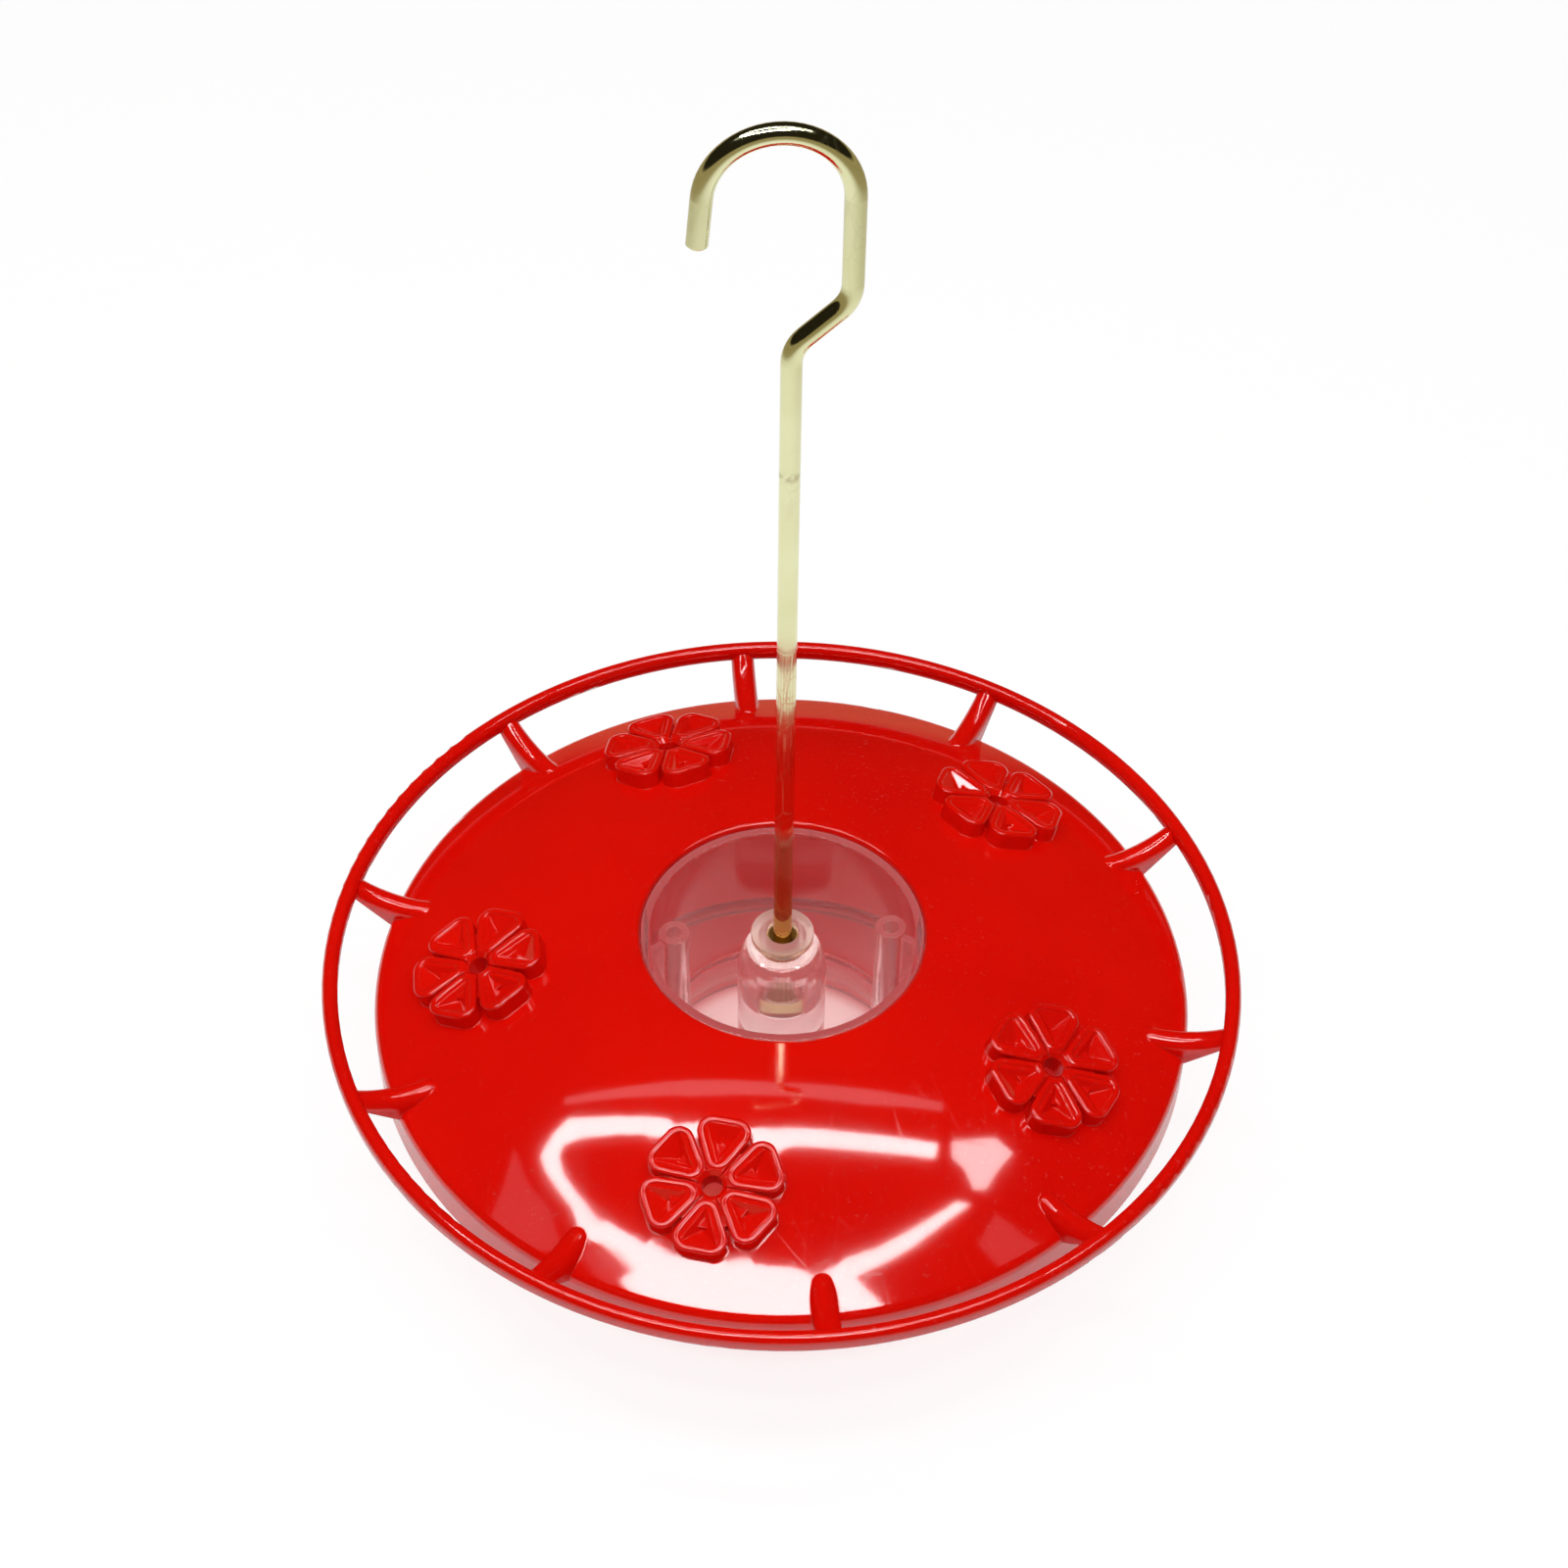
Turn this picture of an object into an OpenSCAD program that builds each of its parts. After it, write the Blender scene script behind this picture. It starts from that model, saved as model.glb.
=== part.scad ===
// Hanging saucer feeder for nectar-drinking birds.
// A domed cover with flower ports and a perch ring closes a clear dish.
// A bent wire hook screws into the post in the dish's centre well.
// Origin: middle of the dish's foot, on the table. +Z up, millimetres.

/* [Cover] */
// Diameter of the domed cover, without the perch
cover_d = 179; // [160:1:200]
// Height of the dome's outer edge above the table
edge_z = 36.5; // [34:0.5:39]
// Height of the centre hole's rim above the table
hole_z = 54; // [51:0.5:60]
// Diameter of the centre hole
hole_d = 62; // [60:0.5:66]
// Wall of the cover
cover_t = 2; // [1.6:0.1:2.4]
// Radius of the dome's outer edge
edge_round = 2.6; // [2.4:0.1:3.2]
// Depth of the skirt below the dome's edge
skirt_h = 9; // [7:0.5:11]
// Depth of the lip round the centre hole
lip_h = 3.5; // [3:0.1:5]
// Turn of the cover on the dish, to the middle of a flower
cover_turn = 39; // [0:1:71]

/* [Perch] */
// Open gap between the dome's edge and the perch ring
perch_gap = 7.1; // [5:0.1:10]
// Width of the ring's section
ring_w = 3.4; // [2.8:0.1:4]
// Height of the ring's section
ring_h = 4.5; // [4.2:0.1:6]
// Height of the ring's middle above the table
ring_z = 44; // [42:0.5:46]
// Struts between the dome and the ring
strut_count = 10; // [5:5:15]
// Width of a strut
strut_w = 5.6; // [4.4:0.1:7]
// Radius of a strut's upward curve
strut_curve = 24; // [20:1:32]
// How far a strut's rounded root reaches in from the dome's edge
strut_root = 7.5; // [6:0.5:10]
// How proud the root stands on the dome
strut_rise = 1; // [0.6:0.1:1.6]
// How far a strut's top runs into the ring below the ring's crest
strut_sink = 0.6; // [0.4:0.1:1]

/* [Flower ports] */
// Number of ports
port_count = 5; // [3:1:5]
// Radius of the circle of ports
port_circle_r = 65.3; // [60:0.1:70]
// Feeding hole through the middle of a flower
port_hole_d = 4.4; // [3:0.1:5]
// Countersink at the top of the feeding hole
port_sink_d = 6.4; // [5.4:0.1:7]
// Height of a flower above the dome
flower_h = 3.4; // [2.8:0.1:4.2]
// Reach of a petal from the flower's middle
petal_len = 14.6; // [13.5:0.1:15.5]
// Width of a petal near its end
petal_w = 11.2; // [10.6:0.1:11.4]
// Radius of a petal's corners
petal_round = 3.2; // [2.8:0.1:3.4]
// Depth of a petal's three-sided dimple
dimple_depth = 1.9; // [1:0.1:2.4]
// Rim left round a dimple
dimple_rim = 1.5; // [1.1:0.1:2]
// Share of a dimple's length that lies outside its deepest point
dimple_share = 0.47; // [0.35:0.01:0.55]
// Depth of the groove between two petals, down to the flower's hub
groove_depth = 0.9; // [0.5:0.1:1.4]
// Radius of the hub that joins the petals
hub_r = 9; // [7:0.1:11]

/* [Dish] */
// Wall of the dish and its floors
dish_t = 2.2; // [1.8:0.1:2.6]
// Height of the foot ring
foot_h = 2.4; // [2:0.1:4]
// Radius of the outer foot ring's outer side
foot_r = 55; // [50:0.5:58]
// Thickness of the dish's rim
rim_w = 2.6; // [2.4:0.1:3.4]
// Height of the dish's rim bead
rim_h = 4; // [3:0.1:5]
// How far the rim bead stands out from the wall
rim_out = 0.8; // [0.4:0.1:1.2]
// How far the rim's top lies below the dome's edge
rim_drop = 2.5; // [2:0.1:3.5]
// Inner diameter of the centre well at its floor
well_d = 55.4; // [54:0.1:57]
// Height of the well's floor above the table
well_floor_z = 15; // [12:0.5:18]
// Wall of the well
well_t = 1.8; // [1.5:0.1:2]
// How far the well's top lies below the hole's rim
well_drop = 1; // [0.6:0.1:1.6]
// Inner diameter of the hollow under the well, at the table
hollow_d = 60; // [58:0.5:62]

/* [Centre post and screw bosses] */
// Diameter of the post
post_d = 19.5; // [18:0.1:21]
// Diameter of the post's top face
post_top_d = 13.8; // [13.4:0.1:15]
// Height of the post's rounded shoulder
shoulder_h = 8; // [6:0.5:10]
// Distance between the two screw bosses
boss_pitch = 47; // [45:0.5:48]
// Diameter of a boss
boss_d = 6.6; // [6:0.1:7]
// Screw hole through a boss
boss_hole_d = 3.4; // [2.8:0.1:3.8]
// How far the bosses end below the hole's rim
boss_drop = 0.7; // [0.4:0.1:3]
// Thickness of the web between a boss and the well
web_t = 1.6; // [1.2:0.1:2]
// Turn of the web from the line of the bosses
web_turn = 37; // [25:1:45]

/* [Bush and insert] */
// Diameter of the bush's flange
flange_d = 13.6; // [12:0.1:13.8]
// Thickness of the flange
flange_h = 1.5; // [1.2:0.1:2]
// How far the flange's top lies below the hole's rim
flange_drop = 1.3; // [0.8:0.1:2]
// Bare neck between the post and the flange
neck_h = 2.9; // [2:0.1:4]
// Diameter of the bush's neck and body
bush_d = 10.3; // [9.8:0.1:11]
// Length of the bush under its flange
bush_len = 19; // [18:0.5:22]
// Diameter of the metal insert
insert_d = 7; // [6.4:0.1:7.6]
// Length of the metal insert
insert_len = 16; // [15:0.5:16.5]
// How far the insert is sunk into the flange
insert_drop = 0.8; // [0.4:0.1:1.2]
// Diameter of the countersink at the insert's top
insert_sink_d = 6; // [5.4:0.1:6.2]
// Depth of that countersink
insert_sink_h = 2; // [1:0.1:3]

/* [Hook] */
// Diameter of the wire
wire_d = 4; // [3.4:0.1:4.4]
// Length of the rod's end inside the insert
thread_len = 14; // [10:0.5:14.5]
// Straight length of the rod from its threaded end to the crank
rod_len = 168.4; // [120:0.1:200]
// Bend angle at both ends of the crank
crank_a = 47.2; // [30:0.1:60]
// Straight length inside the crank
crank_len = 7.9; // [4:0.1:14]
// Bend radius at the crank, on the wire's centre line
bend_r = 7.5; // [5:0.1:8]
// Straight leg between the crank and the hook
leg_len = 18; // [10:0.1:30]
// Bend radius of the hook, on the wire's centre line
loop_r = 13.2; // [11:0.1:16]
// Flare of the hook's free end
tail_flare = 5.4; // [0:0.1:10]
// Straight length of the hook's free end
tail_len = 9.9; // [6:0.1:12]
// Chamfer on the free end
tail_chamfer = 0.6; // [0.3:0.1:1]
// Turn of the hook on its thread
hook_turn = 3; // [-20:1:20]

/* [Fits] */
// Gap between the cover and the dish, all round
cover_gap = 0.3; // [0.2:0.05:0.4]
// Gap at pressed and glued fits
press_gap = 0.05; // [0.02:0.01:0.1]
// Gap between the rod and the insert
thread_gap = 0.15; // [0.1:0.05:0.25]

/* [Hidden] */
$fn = 96;
bite = 0.5;
seam = 0.02;

// Dome: the sphere through the hole's rim and the dome's edge
edge_r = cover_d / 2;
hole_r = hole_d / 2;
dome_c = (hole_z * hole_z + hole_r * hole_r - edge_z * edge_z - edge_r * edge_r) / (2 * (hole_z - edge_z));
dome_r = sqrt(pow(hole_z - dome_c, 2) + hole_r * hole_r);
function dome_z(r, inset = 0) = dome_c + sqrt(pow(dome_r - inset, 2) - r * r);
round_r = edge_r - edge_round;
round_z = dome_z(round_r, edge_round);
round_meet_r = round_r * dome_r / (dome_r - edge_round);
skirt_z = edge_z - skirt_h;
lip_round = cover_t / 2;
lip_z = hole_z - lip_h;

// Perch ring
ring_in_r = edge_r + perch_gap;
ring_mid_r = ring_in_r + ring_w / 2;
ring_low = ring_z - ring_h / 2;
strut_in = [edge_r - strut_root, dome_z(edge_r - strut_root) + strut_rise];
strut_out = [ring_mid_r, ring_z + ring_h / 2 - strut_sink];
strut_mid = (strut_in + strut_out) / 2;
strut_chord = norm(strut_out - strut_in);
strut_up = [strut_in.y - strut_out.y, strut_out.x - strut_in.x] / strut_chord;
strut_c = strut_mid + strut_up * sqrt(strut_curve * strut_curve - strut_chord * strut_chord / 4);
strut_a0 = atan2(strut_in.y - strut_c.y, strut_in.x - strut_c.x);
strut_a1 = atan2(strut_out.y - strut_c.y, strut_out.x - strut_c.x);

// Flowers
port_tilt = asin(port_circle_r / dome_r);
petal_count = 6;
corner_x = petal_len - petal_round;
corner_y = petal_w / 2 - petal_round;
corner_far = norm([corner_x, corner_y]);
side_a = atan2(corner_y, corner_x) + asin((petal_round - seam) / corner_far);
side_len = sqrt(corner_far * corner_far - pow(petal_round - seam, 2));

// Dish
rim_z = edge_z - rim_drop;
rim_r = edge_r - cover_t - cover_gap;
wall_r = rim_r - rim_out;
wall_round = rim_z - rim_h / 2 - foot_h;
wall_c = [wall_r - wall_round, foot_h + wall_round];
well_z = hole_z - well_drop;
well_top_r = hole_r - cover_gap;
well_r = well_d / 2;
hollow_r = hollow_d / 2;

// Post, bush and insert
flange_z = hole_z - flange_drop;
neck_z = flange_z - flange_h;
post_z = neck_z - neck_h;
bush_z = neck_z - bush_len;
insert_top = flange_z - insert_drop;
insert_z = insert_top - insert_len;
boss_z = hole_z - boss_drop;

// Hook
wire_r = wire_d / 2;
arc_share = 0.6;

module cover_section() {
    intersection() {
        difference() {
            translate([0, dome_c]) circle(dome_r, $fn = 360);
            translate([0, dome_c]) circle(dome_r - cover_t, $fn = 360);
        }
        translate([hole_r + lip_round, 0]) square([round_meet_r - hole_r - lip_round, hole_z + lip_h]);
    }
    intersection() {
        translate([round_r, round_z]) circle(edge_round);
        translate([round_r, round_z]) square([edge_round, edge_round]);
    }
    translate([edge_r - cover_t, skirt_z]) square([cover_t, round_z - skirt_z]);
    // Flat seat on the dish's rim
    translate([rim_r - rim_w, rim_z]) square([rim_w + cover_gap + bite, edge_round / 2]);
    // Lip with a rounded top
    translate([hole_r + lip_round, dome_z(hole_r + lip_round, lip_round)]) circle(lip_round);
    translate([hole_r, lip_z]) square([cover_t, dome_z(hole_r + lip_round, lip_round) - lip_z]);
}

module ring_section() {
    flat_h = ring_h - ring_w;
    translate([ring_mid_r, ring_z - flat_h / 2]) circle(ring_w / 2);
    translate([ring_mid_r, ring_z + flat_h / 2]) circle(ring_w / 2);
    translate([ring_in_r, ring_z - flat_h / 2]) square([ring_w, flat_h]);
}

// Side view of the room a strut may fill: above this line and inside the ring
module strut_side() {
    inner = strut_in.x - strut_w / 2 - bite;
    shell = edge_r - cover_t;
    polygon([
        [inner, dome_z(inner, cover_t / 2)],
        [shell, dome_z(shell, cover_t / 2)],
        [edge_r, round_z + bite],
        [ring_in_r + bite, ring_low + bite / 2],
        [ring_mid_r, ring_low + bite / 2],
        [ring_mid_r, strut_c.y],
        [inner, strut_c.y]
    ]);
}

// One strut: a round-topped bar swept along an upward curve
module strut() {
    intersection() {
        translate([strut_c.x, 0, strut_c.y]) rotate([90, 0, 0]) rotate([0, 0, strut_a0]) {
            rotate_extrude(angle = strut_a1 - strut_a0) {
                translate([strut_curve + strut_w / 2, 0]) circle(strut_w / 2);
                translate([strut_curve + strut_w / 2, -strut_w / 2]) square([strut_w, strut_w]);
            }
            translate([strut_curve + strut_w / 2, 0, 0]) sphere(strut_w / 2);
        }
        rotate([90, 0, 0]) linear_extrude(strut_w + 2 * bite, center = true) strut_side();
    }
}

// Three-sided dimple: two long faces meet in a valley, one face closes it outside
module petal_dimple() {
    top = flower_h + bite;
    root_x = port_sink_d / 2 + dimple_rim;
    end_x = petal_len - dimple_rim;
    half_w = petal_w / 2 - dimple_rim;
    deep_x = end_x - (end_x - root_x) * dimple_share;
    grow = (dimple_depth + bite) / dimple_depth;
    polyhedron(
        points = [
            [deep_x, 0, flower_h - dimple_depth],
            [deep_x + (root_x - deep_x) * grow, 0, top],
            [deep_x + (end_x - deep_x) * grow, half_w * grow, top],
            [deep_x + (end_x - deep_x) * grow, -half_w * grow, top]
        ],
        faces = [[0, 2, 1], [0, 1, 3], [0, 3, 2], [1, 2, 3]]
    );
}

// One petal: a wedge with two round corners, dimpled on top
module petal() {
    tall = flower_h + cover_t / 2;
    difference() {
        translate([0, 0, -cover_t / 2]) {
            linear_extrude(tall) polygon([
                [0, 0],
                side_len * [cos(side_a), sin(side_a)],
                [corner_x, corner_y],
                [petal_len - seam, corner_y],
                [petal_len - seam, -corner_y],
                [corner_x, -corner_y],
                side_len * [cos(side_a), -sin(side_a)]
            ]);
            for (side = [-1, 1]) {
                translate([corner_x, side * corner_y, 0]) cylinder(h = tall, r = petal_round, $fn = 48);
            }
        }
        petal_dimple();
    }
}

// One flower, standing on the dome at right angles to it
module flower() {
    translate([0, 0, -cover_t / 2]) cylinder(h = flower_h + cover_t / 2 - groove_depth, r = hub_r);
    for (k = [0 : petal_count - 1]) rotate([0, 0, k * 360 / petal_count]) petal();
}

module at_ports() {
    for (k = [0 : port_count - 1]) {
        rotate([0, 0, cover_turn + k * 360 / port_count])
            translate([port_circle_r, 0, dome_z(port_circle_r)])
            rotate([0, port_tilt, 0]) children();
    }
}

module port_hole() {
    depth = (port_sink_d - port_hole_d) / 2;
    translate([0, 0, -2 * cover_t]) cylinder(h = flower_h + 4 * cover_t, d = port_hole_d, $fn = 48);
    translate([0, 0, flower_h - depth]) {
        cylinder(h = depth + bite, d1 = port_hole_d, d2 = port_sink_d + 2 * bite, $fn = 48);
    }
}

// Cover: one moulding with its perch ring, struts and flower ports
module cover() {
    color("red") difference() {
        union() {
            rotate_extrude($fn = 180) cover_section();
            rotate_extrude($fn = 180) ring_section();
            for (k = [0 : strut_count - 1]) {
                rotate([0, 0, cover_turn + (k + 0.5) * 360 / strut_count]) strut();
            }
            at_ports() flower();
        }
        at_ports() port_hole();
    }
}

// Dish section, right of the axis
module dish_section() {
    // Round side wall and its rim bead
    intersection() {
        difference() {
            translate(wall_c) circle(wall_round, $fn = 180);
            translate(wall_c) circle(wall_round - dish_t, $fn = 180);
        }
        translate([wall_c.x, 0]) square([wall_round, wall_c.y]);
    }
    translate([rim_r - rim_w, wall_c.y - rim_h / 2]) square([rim_w, rim_z - wall_c.y + rim_h / 2]);
    // Trough floor and outer foot ring
    translate([hollow_r, foot_h]) square([wall_c.x - hollow_r, dish_t]);
    translate([foot_r - dish_t, 0]) square([dish_t, foot_h + dish_t / 2]);
    // Wall of the centre well, widening both ways from the well's floor
    polygon([
        [well_r, well_floor_z],
        [well_top_r - well_t, well_z],
        [well_top_r, well_z],
        [well_r + well_t, well_floor_z],
        [hollow_r + well_t, foot_h],
        [hollow_r + well_t, 0],
        [hollow_r, 0],
        [well_r, well_floor_z - dish_t]
    ]);
    // Well floor
    translate([0, well_floor_z - dish_t]) square([well_r + well_t / 2, dish_t]);
    // Post with a rounded shoulder
    step = 15;
    polygon([
        [0, well_floor_z - dish_t / 2],
        [post_d / 2, well_floor_z - dish_t / 2],
        for (a = [0 : step : 90])
            [post_top_d / 2 + (post_d - post_top_d) / 2 * cos(a), post_z - shoulder_h * (1 - sin(a))],
        [0, post_z]
    ]);
}

// One hollow screw boss with its web to the well's wall
module boss() {
    foot = well_floor_z - dish_t / 2;
    translate([boss_pitch / 2, 0, foot]) cylinder(h = boss_z - foot, d = boss_d);
    intersection() {
        translate([boss_pitch / 2, 0, foot]) rotate([0, 0, -web_turn]) {
            translate([0, -web_t / 2, 0]) cube([well_r, web_t, boss_z - foot - well_drop]);
        }
        translate([0, 0, foot]) {
            cylinder(h = well_z - foot, r1 = well_r + well_t / 2, r2 = well_top_r - well_t / 2, $fn = 180);
        }
    }
}

// Bowl: one clear moulding with trough, well, post and bosses
module bowl() {
    color("lightpink", 0.5) difference() {
        union() {
            rotate_extrude($fn = 180) dish_section();
            boss();
            mirror([1, 0, 0]) boss();
        }
        translate([0, 0, bush_z - bite]) cylinder(h = bush_len + bite, r = bush_d / 2 + press_gap);
        for (side = [-1, 1]) {
            translate([side * boss_pitch / 2, 0, -bite]) cylinder(h = boss_z + 2 * bite, d = boss_hole_d);
        }
    }
}

// Clear flanged bush, pressed into the post
module rod_bush() {
    color("mistyrose") difference() {
        union() {
            translate([0, 0, bush_z]) cylinder(h = bush_len + bite / 2, d = bush_d);
            translate([0, 0, neck_z]) cylinder(h = flange_h, d = flange_d);
        }
        translate([0, 0, insert_z]) cylinder(h = insert_len + insert_drop + bite, r = insert_d / 2 + press_gap);
    }
}

// Brass insert that takes the rod's thread, countersunk at its top
module threaded_insert() {
    bore_d = wire_d + 2 * thread_gap;
    sink_grow = (insert_sink_h + bite) / insert_sink_h;
    color("gold") difference() {
        translate([0, 0, insert_z]) cylinder(h = insert_len, d = insert_d);
        translate([0, 0, insert_z - bite]) cylinder(h = insert_len + 2 * bite, d = bore_d);
        translate([0, 0, insert_top - insert_sink_h]) {
            cylinder(h = insert_sink_h + bite, d1 = bore_d, d2 = bore_d + (insert_sink_d - bore_d) * sink_grow);
        }
    }
}

// Bend towards +X from the origin, whose children go on from its end
module wire_bend(radius, angle) {
    translate([radius, 0, 0]) {
        difference() {
            rotate([90, 0, 180]) rotate_extrude(angle = 180) translate([radius, 0]) circle(wire_r);
            rotate([0, angle, 0]) translate([-2 * radius, -wire_d, 0]) {
                cube([4 * radius, 2 * wire_d, 2 * radius]);
            }
        }
        rotate([0, angle, 0]) translate([-radius, 0, 0]) children();
    }
}

// Wide bend towards +X, made of two arcs that overlap in the middle
module wire_loop(radius, angle) {
    translate([radius, 0, 0]) {
        rotate([90, 0, 180]) rotate_extrude(angle = angle * arc_share) translate([radius, 0]) circle(wire_r);
        rotate([0, angle, 0]) {
            rotate([-90, 0, 180]) {
                rotate_extrude(angle = angle * arc_share) translate([radius, 0]) circle(wire_r);
            }
            translate([-radius, 0, 0]) children();
        }
    }
}

// Straight wire upwards from the origin, whose children go on from its end
module wire(length) {
    cylinder(h = length, r = wire_r);
    translate([0, 0, length]) children();
}

// Plated wire: straight rod, crank and hook
module hook_rod() {
    color("goldenrod") rotate([0, 0, hook_turn]) translate([0, 0, insert_top - thread_len])
        wire(rod_len) wire_bend(bend_r, crank_a) wire(crank_len)
        rotate([0, 0, 180]) wire_bend(bend_r, crank_a) wire(leg_len)
        wire_loop(loop_r, 180 - tail_flare) wire(tail_len - tail_chamfer)
        cylinder(h = tail_chamfer, r1 = wire_r, r2 = wire_r - tail_chamfer);
}

bowl();
rod_bush();
threaded_insert();
hook_rod();
cover();
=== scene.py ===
"""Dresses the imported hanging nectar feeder: finishes, petal rims, knurled insert, light, floor and camera."""

import logging
import math
from collections.abc import Sequence
from dataclasses import dataclass
from enum import Enum

import bmesh
import bpy
from mathutils import Matrix, Vector


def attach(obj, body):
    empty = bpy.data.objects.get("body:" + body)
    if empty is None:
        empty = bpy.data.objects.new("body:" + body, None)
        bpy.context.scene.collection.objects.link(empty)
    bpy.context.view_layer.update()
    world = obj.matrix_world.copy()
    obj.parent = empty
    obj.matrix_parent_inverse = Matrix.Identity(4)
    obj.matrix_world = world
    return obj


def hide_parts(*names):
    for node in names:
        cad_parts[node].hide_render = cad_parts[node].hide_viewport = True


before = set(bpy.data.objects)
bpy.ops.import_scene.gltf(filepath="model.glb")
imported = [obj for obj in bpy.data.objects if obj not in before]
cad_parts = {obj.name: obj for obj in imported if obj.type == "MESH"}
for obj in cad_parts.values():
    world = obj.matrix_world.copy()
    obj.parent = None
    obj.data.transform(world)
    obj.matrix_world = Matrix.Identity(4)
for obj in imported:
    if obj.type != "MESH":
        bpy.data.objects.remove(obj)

LOG = logging.getLogger("feeder")
Tree = bpy.types.NodeTree
Node = bpy.types.Node
Socket = bpy.types.NodeSocket
Sockets = bpy.types.bpy_prop_collection
Material = bpy.types.Material
Piece = bpy.types.Object
Colour = tuple[float, float, float, float]
Point = tuple[float, float, float]
Spot = tuple[float, float]
Number = Socket | float
Tint = Socket | Colour
WHITE: Colour = (1.0, 1.0, 1.0, 1.0)
MM = 0.001
SOCKET_KINDS = {
    float: "NodeSocketFloat",
    int: "NodeSocketInt",
    tuple: "NodeSocketColor",
    type(None): "NodeSocketGeometry",
}


class Body(Enum):
    """The three moving bodies of the feeder."""

    DISH = "dish"
    HANGER = "hanger"
    LID = "lid"


class Slot(Enum):
    """Names of material slots; no piece in this script takes one."""

    RED = "red_plastic"
    BRASS = "brass"


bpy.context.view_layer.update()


# ---------------------------------------------------------------- node trees


def fill(tree: Tree, made: Node, inputs: dict[str | int, object]) -> Node:
    """Links sockets and sets values on a node's inputs.

    Args:
        tree: The node's tree.
        made: The node.
        inputs: A socket to link or a value to set, by the input's name or number.

    Returns:
        The same node.
    """
    for key, value in inputs.items():
        if isinstance(value, Socket):
            tree.links.new(value, made.inputs[key])
        else:
            made.inputs[key].default_value = value
    return made


def put(tree: Tree, kind: str, inputs: dict[str | int, object] | None = None, **settings: object) -> Node:
    """Adds one node to a tree.

    Args:
        tree: The tree that takes the node.
        kind: Blender's name of the node type.
        inputs: A socket to link or a value to set, by the input's name or number.
        settings: Properties of the node by their own names.

    Returns:
        The new node.
    """
    made = tree.nodes.new(kind)
    for name, value in settings.items():
        setattr(made, name, value)
    return fill(tree, made, inputs or {})


def maths(tree: Tree, operation: str, *values: Number) -> Socket:
    """Adds a Math node and returns its result.

    Args:
        tree: The tree that takes the node.
        operation: Blender's name of the operation.
        values: A socket or a number for each input in turn.

    Returns:
        The result's socket.
    """
    return put(tree, "ShaderNodeMath", dict(enumerate(values)), operation=operation).outputs[0]


def blend(tree: Tree, share: Socket, first: Tint, second: Tint) -> Socket:
    """Mixes two colours.

    Args:
        tree: The tree that takes the node.
        share: How much of the second colour there is.
        first: The colour, or its socket, at a share of 0.
        second: The colour, or its socket, at a share of 1.

    Returns:
        The mixed colour's socket.
    """
    return put(tree, "ShaderNodeMix", {0: share, 6: first, 7: second}, data_type="RGBA").outputs[2]


def ramp(
    tree: Tree, value: Socket, low: float, high: float, start: float = 0.0, end: float = 1.0, kind: str = "LINEAR"
) -> Socket:
    """Maps a range of a value to another, and holds it outside.

    Args:
        tree: The tree that takes the node.
        value: The value's socket.
        low: Where the range begins; it may be the higher of the two.
        high: Where the range ends.
        start: The result at low.
        end: The result at high.
        kind: LINEAR or SMOOTHSTEP.

    Returns:
        The result's socket.
    """
    inputs = {"Value": value, "From Min": low, "From Max": high, "To Min": start, "To Max": end}
    return put(tree, "ShaderNodeMapRange", inputs, interpolation_type=kind).outputs[0]


def noise(tree: Tree, place: Socket, scale: Number, detail: float = 2.0, roughness: float = 0.5) -> Socket:
    """Adds a noise texture.

    Args:
        tree: The tree that takes the node.
        place: The socket of the coordinates.
        scale: The scale or its socket.
        detail: How many finer layers it has.
        roughness: How strong those layers are.

    Returns:
        The noise value's socket.
    """
    inputs = {"Vector": place, "Scale": scale, "Detail": detail, "Roughness": roughness}
    return put(tree, "ShaderNodeTexNoise", inputs).outputs["Fac"]


def object_place(tree: Tree) -> Socket:
    """Returns the socket of the Object coordinates."""
    return put(tree, "ShaderNodeTexCoord").outputs["Object"]


def height_of(tree: Tree, vector: Socket) -> Socket:
    """Returns the Z part of a vector."""
    return put(tree, "ShaderNodeSeparateXYZ", {0: vector}).outputs["Z"]


def arrange(tree: Tree) -> None:
    """Lays the nodes of a tree out in columns of five."""
    for index, made in enumerate(tree.nodes):
        made.location = (220 * (index // 5), -260 * (index % 5))


def group_tree(
    name: str, kind: str, inputs: dict[str, object], outputs: dict[str, str]
) -> tuple[Tree, Sockets, Sockets]:
    """Makes an empty node group with named sockets.

    Args:
        name: The group's name.
        kind: ShaderNodeTree or GeometryNodeTree.
        inputs: Default value by input name, None for geometry.
        outputs: Socket type by output name.

    Returns:
        The tree, what its inputs give, and its outputs to feed.
    """
    tree = bpy.data.node_groups.new(name, kind)
    for label, value in inputs.items():
        socket = tree.interface.new_socket(name=label, in_out="INPUT", socket_type=SOCKET_KINDS[type(value)])
        if value is not None:
            socket.default_value = value
    for label, socket_type in outputs.items():
        tree.interface.new_socket(name=label, in_out="OUTPUT", socket_type=socket_type)
    return tree, put(tree, "NodeGroupInput").outputs, put(tree, "NodeGroupOutput").inputs


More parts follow.
